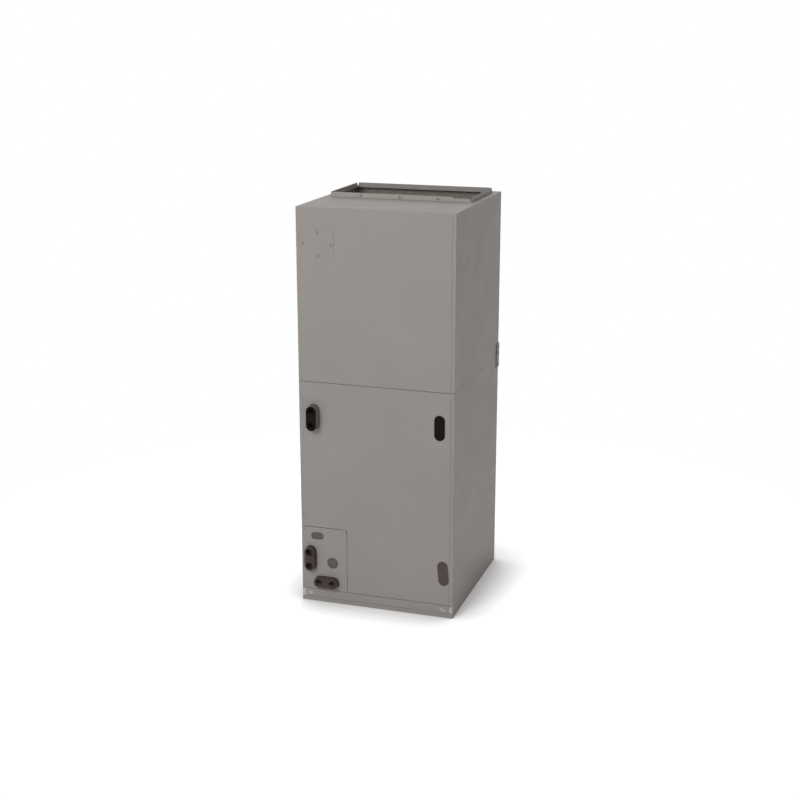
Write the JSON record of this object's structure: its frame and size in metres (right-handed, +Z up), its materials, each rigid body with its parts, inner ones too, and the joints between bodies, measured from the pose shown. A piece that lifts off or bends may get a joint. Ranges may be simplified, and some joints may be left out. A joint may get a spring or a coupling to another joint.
{
  "type": "air handler",
  "caption": "Upright two-section air handler: return in the base, filter, A-shaped cooling coil with drain pans, blower on rails, and a supply collar on top.",
  "frame": {"origin": "middle of the casing's footprint, on the floor, at the middle of the return opening", "axes": "+X to the right seen from the front, the doors face -Y, +Z up"},
  "size_m": [0.55, 0.5971, 1.3733],
  "materials": {
    "paint": "taupe-grey baked enamel, satin",
    "zinc": "galvanised sheet",
    "foil": "dark faced glass-fibre insulation, matt",
    "pan_black": "black moulded plastic",
    "pan_brown": "dark brown moulded plastic",
    "copper": "drawn copper tube, slightly dulled",
    "fins": "plate fins",
    "rubber": "grey rubber",
    "motor": "black enamel",
    "plastic": "black moulded plastic",
    "board": "green lacquered board",
    "card": "plain card",
    "medium": "white pleated medium",
    "steel": "bright steel"
  },
  "bodies": {
    "casing": {"base_frame": "paint", "coil_left_side": "paint", "coil_right_side": "paint", "coil_back_panel": "paint", "front_rails": "paint", "blower_left_side": "paint", "blower_right_side": "paint", "blower_back_panel": "paint", "top_panel": "paint", "collar_front": "paint", "collar_rear": "paint", "collar_sides": "paint", "heater_deck": "zinc", "heater_wall": "zinc", "heater_cover": "zinc", "blower_rails": "zinc", "pan_rails": "zinc", "filter_rails": "zinc", "corner_brackets": "paint", "coil_liner": "foil", "blower_liner": "foil", "plenum_liner": "foil", "control_tray": "zinc", "control_board": "board", "transformer": "motor", "breaker": "plastic", "casing_screws": "steel"},
    "blower": {"housing_left": "zinc", "housing_right": "zinc", "scroll_wrap": "zinc", "motor": "motor", "motor_mount": "zinc", "run_capacitor": "steel"},
    "wheel": {"blower_wheel": "zinc", "wheel_shaft": "steel"},
    "blower_door": {"blower_panel": "paint", "blower_panel_insulation": "foil", "breaker_cover": "paint", "blower_panel_screws": "steel"},
    "coil": {"slab_left": "fins", "slab_right": "fins", "return_bends": "copper", "delta_plates": "zinc", "coil_top_plate": "zinc", "drain_pan": "pan_brown", "side_drain_pan": "pan_black", "suction_manifold": "copper", "expansion_valve": "copper", "distributor": "copper"},
    "coil_door": {"coil_panel": "paint", "coil_panel_insulation": "foil", "socket_plugs": "pan_brown", "coil_panel_screws": "steel"},
    "fitting_door": {"fitting_panel": "paint", "line_grommets": "rubber", "fitting_panel_screws": "steel"},
    "filter": {"filter_frame": "card", "filter_media": "medium"},
    "filter_hatch": {"filter_door": "paint", "filter_clips": "zinc"}
  },
  "joints": [
    {"name": "wheel_spin", "type": "hinge", "parent": "blower", "child": "wheel", "pos_m": [0, 0.015, 1.0102], "axis": [1, 0, 0], "continuous": true},
    {"name": "blower_slide", "type": "slide", "parent": "casing", "child": "blower", "axis": [0, -1, 0], "range_m": [0, 0.56]},
    {"name": "blower_panel_pull", "type": "slide", "parent": "casing", "child": "blower_door", "axis": [0, -1, 0], "range_m": [0, 0.7]},
    {"name": "coil_slide", "type": "slide", "parent": "casing", "child": "coil", "axis": [0, -1, 0], "range_m": [0, 0.56]},
    {"name": "coil_panel_pull", "type": "slide", "parent": "casing", "child": "coil_door", "axis": [0, -1, 0], "range_m": [0, 0.672]},
    {"name": "fitting_panel_pull", "type": "slide", "parent": "casing", "child": "fitting_door", "axis": [0, -1, 0], "range_m": [0, 0.784]},
    {"name": "filter_slide", "type": "slide", "parent": "casing", "child": "filter", "axis": [0, -1, 0], "range_m": [0, 0.56]},
    {"name": "filter_door_pull", "type": "slide", "parent": "casing", "child": "filter_hatch", "axis": [0, -1, 0], "range_m": [0, 0.616]}
  ],
  "couplings": [
    {"joint": "blower_panel_pull", "follows": "blower_slide", "ratio": 1.25},
    {"joint": "coil_panel_pull", "follows": "coil_slide", "ratio": 1.2},
    {"joint": "fitting_panel_pull", "follows": "coil_slide", "ratio": 1.4},
    {"joint": "filter_door_pull", "follows": "filter_slide", "ratio": 1.1}
  ]
}
